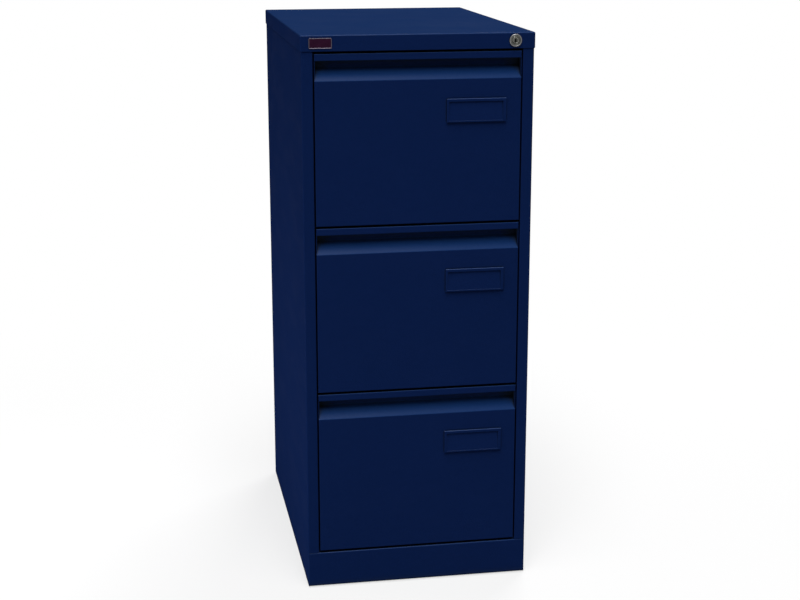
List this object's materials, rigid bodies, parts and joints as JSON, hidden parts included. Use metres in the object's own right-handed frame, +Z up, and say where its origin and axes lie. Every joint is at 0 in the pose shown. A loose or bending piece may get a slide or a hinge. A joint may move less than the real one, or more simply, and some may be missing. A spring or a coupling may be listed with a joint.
{
  "type": "vertical filing cabinet",
  "caption": "Tall narrow painted steel filing cabinet with stacked deep drawers, recessed full-width pulls, label holders and a cylinder lock that bolts the drawers.",
  "frame": {"origin": "on the floor under the middle of the top cap", "axes": "+X to the right seen from the front, +Y to the back, +Z up"},
  "size_m": [0.413, 0.6245, 1.016],
  "materials": {
    "navy_paint": "satin powder coat",
    "zinc_steel": "zinc plated",
    "nickel": "satin nickel plate",
    "ball_steel": "polished steel",
    "dark_plastic": "matte",
    "pale_plastic": "matte",
    "badge": "satin plate with a dark field"
  },
  "bodies": {
    "carcass": {"side_panel_left": "navy_paint", "side_panel_right": "navy_paint", "back_panel": "navy_paint", "top_cap": "navy_paint", "plinth": "navy_paint", "base_pan": "navy_paint", "top_rail": "navy_paint", "divider_rails": "navy_paint", "runner_post_front_left": "navy_paint", "runner_post_front_right": "navy_paint", "runner_post_rear_left": "navy_paint", "runner_post_rear_right": "navy_paint", "floor_glides": "dark_plastic", "lock_housing": "nickel", "lock_nut": "zinc_steel", "lock_bar_guides": "pale_plastic", "badge_plate": "badge", "slide_outer_1": "zinc_steel", "slide_outer_2": "zinc_steel", "slide_outer_3": "zinc_steel"},
    "lock_bar_set": {"lock_bar": "zinc_steel", "lock_arm": "zinc_steel", "lock_tabs": "zinc_steel"},
    "lock_cylinder": {"lock_plug": "nickel", "lock_cam": "zinc_steel", "cam_screw": "zinc_steel"},
    "drawer_1": {"drawer_front_1": "navy_paint", "front_liner_1": "navy_paint", "label_holder_1": "navy_paint", "drawer_tray_1": "navy_paint", "drawer_back_1": "navy_paint", "lock_catch_1": "zinc_steel", "front_screws_1": "zinc_steel", "slide_inner_1": "zinc_steel"},
    "middle_members_1": {"slide_middle_1": "zinc_steel"},
    "outer_cages_1": {"ball_cage_outer_1": "ball_steel"},
    "inner_cages_1": {"ball_cage_inner_1": "ball_steel"},
    "drawer_2": {"drawer_front_2": "navy_paint", "front_liner_2": "navy_paint", "label_holder_2": "navy_paint", "drawer_tray_2": "navy_paint", "drawer_back_2": "navy_paint", "lock_catch_2": "zinc_steel", "front_screws_2": "zinc_steel", "slide_inner_2": "zinc_steel"},
    "middle_members_2": {"slide_middle_2": "zinc_steel"},
    "outer_cages_2": {"ball_cage_outer_2": "ball_steel"},
    "inner_cages_2": {"ball_cage_inner_2": "ball_steel"},
    "drawer_3": {"drawer_front_3": "navy_paint", "front_liner_3": "navy_paint", "label_holder_3": "navy_paint", "drawer_tray_3": "navy_paint", "drawer_back_3": "navy_paint", "lock_catch_3": "zinc_steel", "front_screws_3": "zinc_steel", "slide_inner_3": "zinc_steel"},
    "middle_members_3": {"slide_middle_3": "zinc_steel"},
    "outer_cages_3": {"ball_cage_outer_3": "ball_steel"},
    "inner_cages_3": {"ball_cage_inner_3": "ball_steel"}
  },
  "joints": [
    {"name": "drawer_1_slide", "type": "slide", "parent": "carcass", "child": "drawer_1", "axis": [0, -1, 0], "range_m": [0, 0.52]},
    {"name": "middle_members_1_slide", "type": "slide", "parent": "carcass", "child": "middle_members_1", "axis": [0, -1, 0], "range_m": [0, 0.26]},
    {"name": "outer_cages_1_slide", "type": "slide", "parent": "carcass", "child": "outer_cages_1", "axis": [0, -1, 0], "range_m": [0, 0.13]},
    {"name": "inner_cages_1_slide", "type": "slide", "parent": "carcass", "child": "inner_cages_1", "axis": [0, -1, 0], "range_m": [0, 0.39]},
    {"name": "drawer_2_slide", "type": "slide", "parent": "carcass", "child": "drawer_2", "axis": [0, -1, 0], "range_m": [0, 0.52]},
    {"name": "middle_members_2_slide", "type": "slide", "parent": "carcass", "child": "middle_members_2", "axis": [0, -1, 0], "range_m": [0, 0.26]},
    {"name": "outer_cages_2_slide", "type": "slide", "parent": "carcass", "child": "outer_cages_2", "axis": [0, -1, 0], "range_m": [0, 0.13]},
    {"name": "inner_cages_2_slide", "type": "slide", "parent": "carcass", "child": "inner_cages_2", "axis": [0, -1, 0], "range_m": [0, 0.39]},
    {"name": "drawer_3_slide", "type": "slide", "parent": "carcass", "child": "drawer_3", "axis": [0, -1, 0], "range_m": [0, 0.52]},
    {"name": "middle_members_3_slide", "type": "slide", "parent": "carcass", "child": "middle_members_3", "axis": [0, -1, 0], "range_m": [0, 0.26]},
    {"name": "outer_cages_3_slide", "type": "slide", "parent": "carcass", "child": "outer_cages_3", "axis": [0, -1, 0], "range_m": [0, 0.13]},
    {"name": "inner_cages_3_slide", "type": "slide", "parent": "carcass", "child": "inner_cages_3", "axis": [0, -1, 0], "range_m": [0, 0.39]},
    {"name": "lock_bar_lift", "type": "slide", "parent": "carcass", "child": "lock_bar_set", "axis": [0, 0, 1], "range_m": [0, 0.01414]},
    {"name": "lock_turn", "type": "hinge", "parent": "carcass", "child": "lock_cylinder", "pos_m": [0.1707, -0.311, 1.002], "axis": [0, -1, 0], "range_deg": [0, 90]}
  ],
  "couplings": [
    {"joint": "middle_members_1_slide", "follows": "drawer_1_slide", "ratio": 0.5},
    {"joint": "outer_cages_1_slide", "follows": "drawer_1_slide", "ratio": 0.25},
    {"joint": "inner_cages_1_slide", "follows": "drawer_1_slide", "ratio": 0.75},
    {"joint": "middle_members_2_slide", "follows": "drawer_2_slide", "ratio": 0.5},
    {"joint": "outer_cages_2_slide", "follows": "drawer_2_slide", "ratio": 0.25},
    {"joint": "inner_cages_2_slide", "follows": "drawer_2_slide", "ratio": 0.75},
    {"joint": "middle_members_3_slide", "follows": "drawer_3_slide", "ratio": 0.5},
    {"joint": "outer_cages_3_slide", "follows": "drawer_3_slide", "ratio": 0.25},
    {"joint": "inner_cages_3_slide", "follows": "drawer_3_slide", "ratio": 0.75},
    {"joint": "lock_turn", "follows": "lock_bar_lift", "rad_per_m": 111.07}
  ]
}
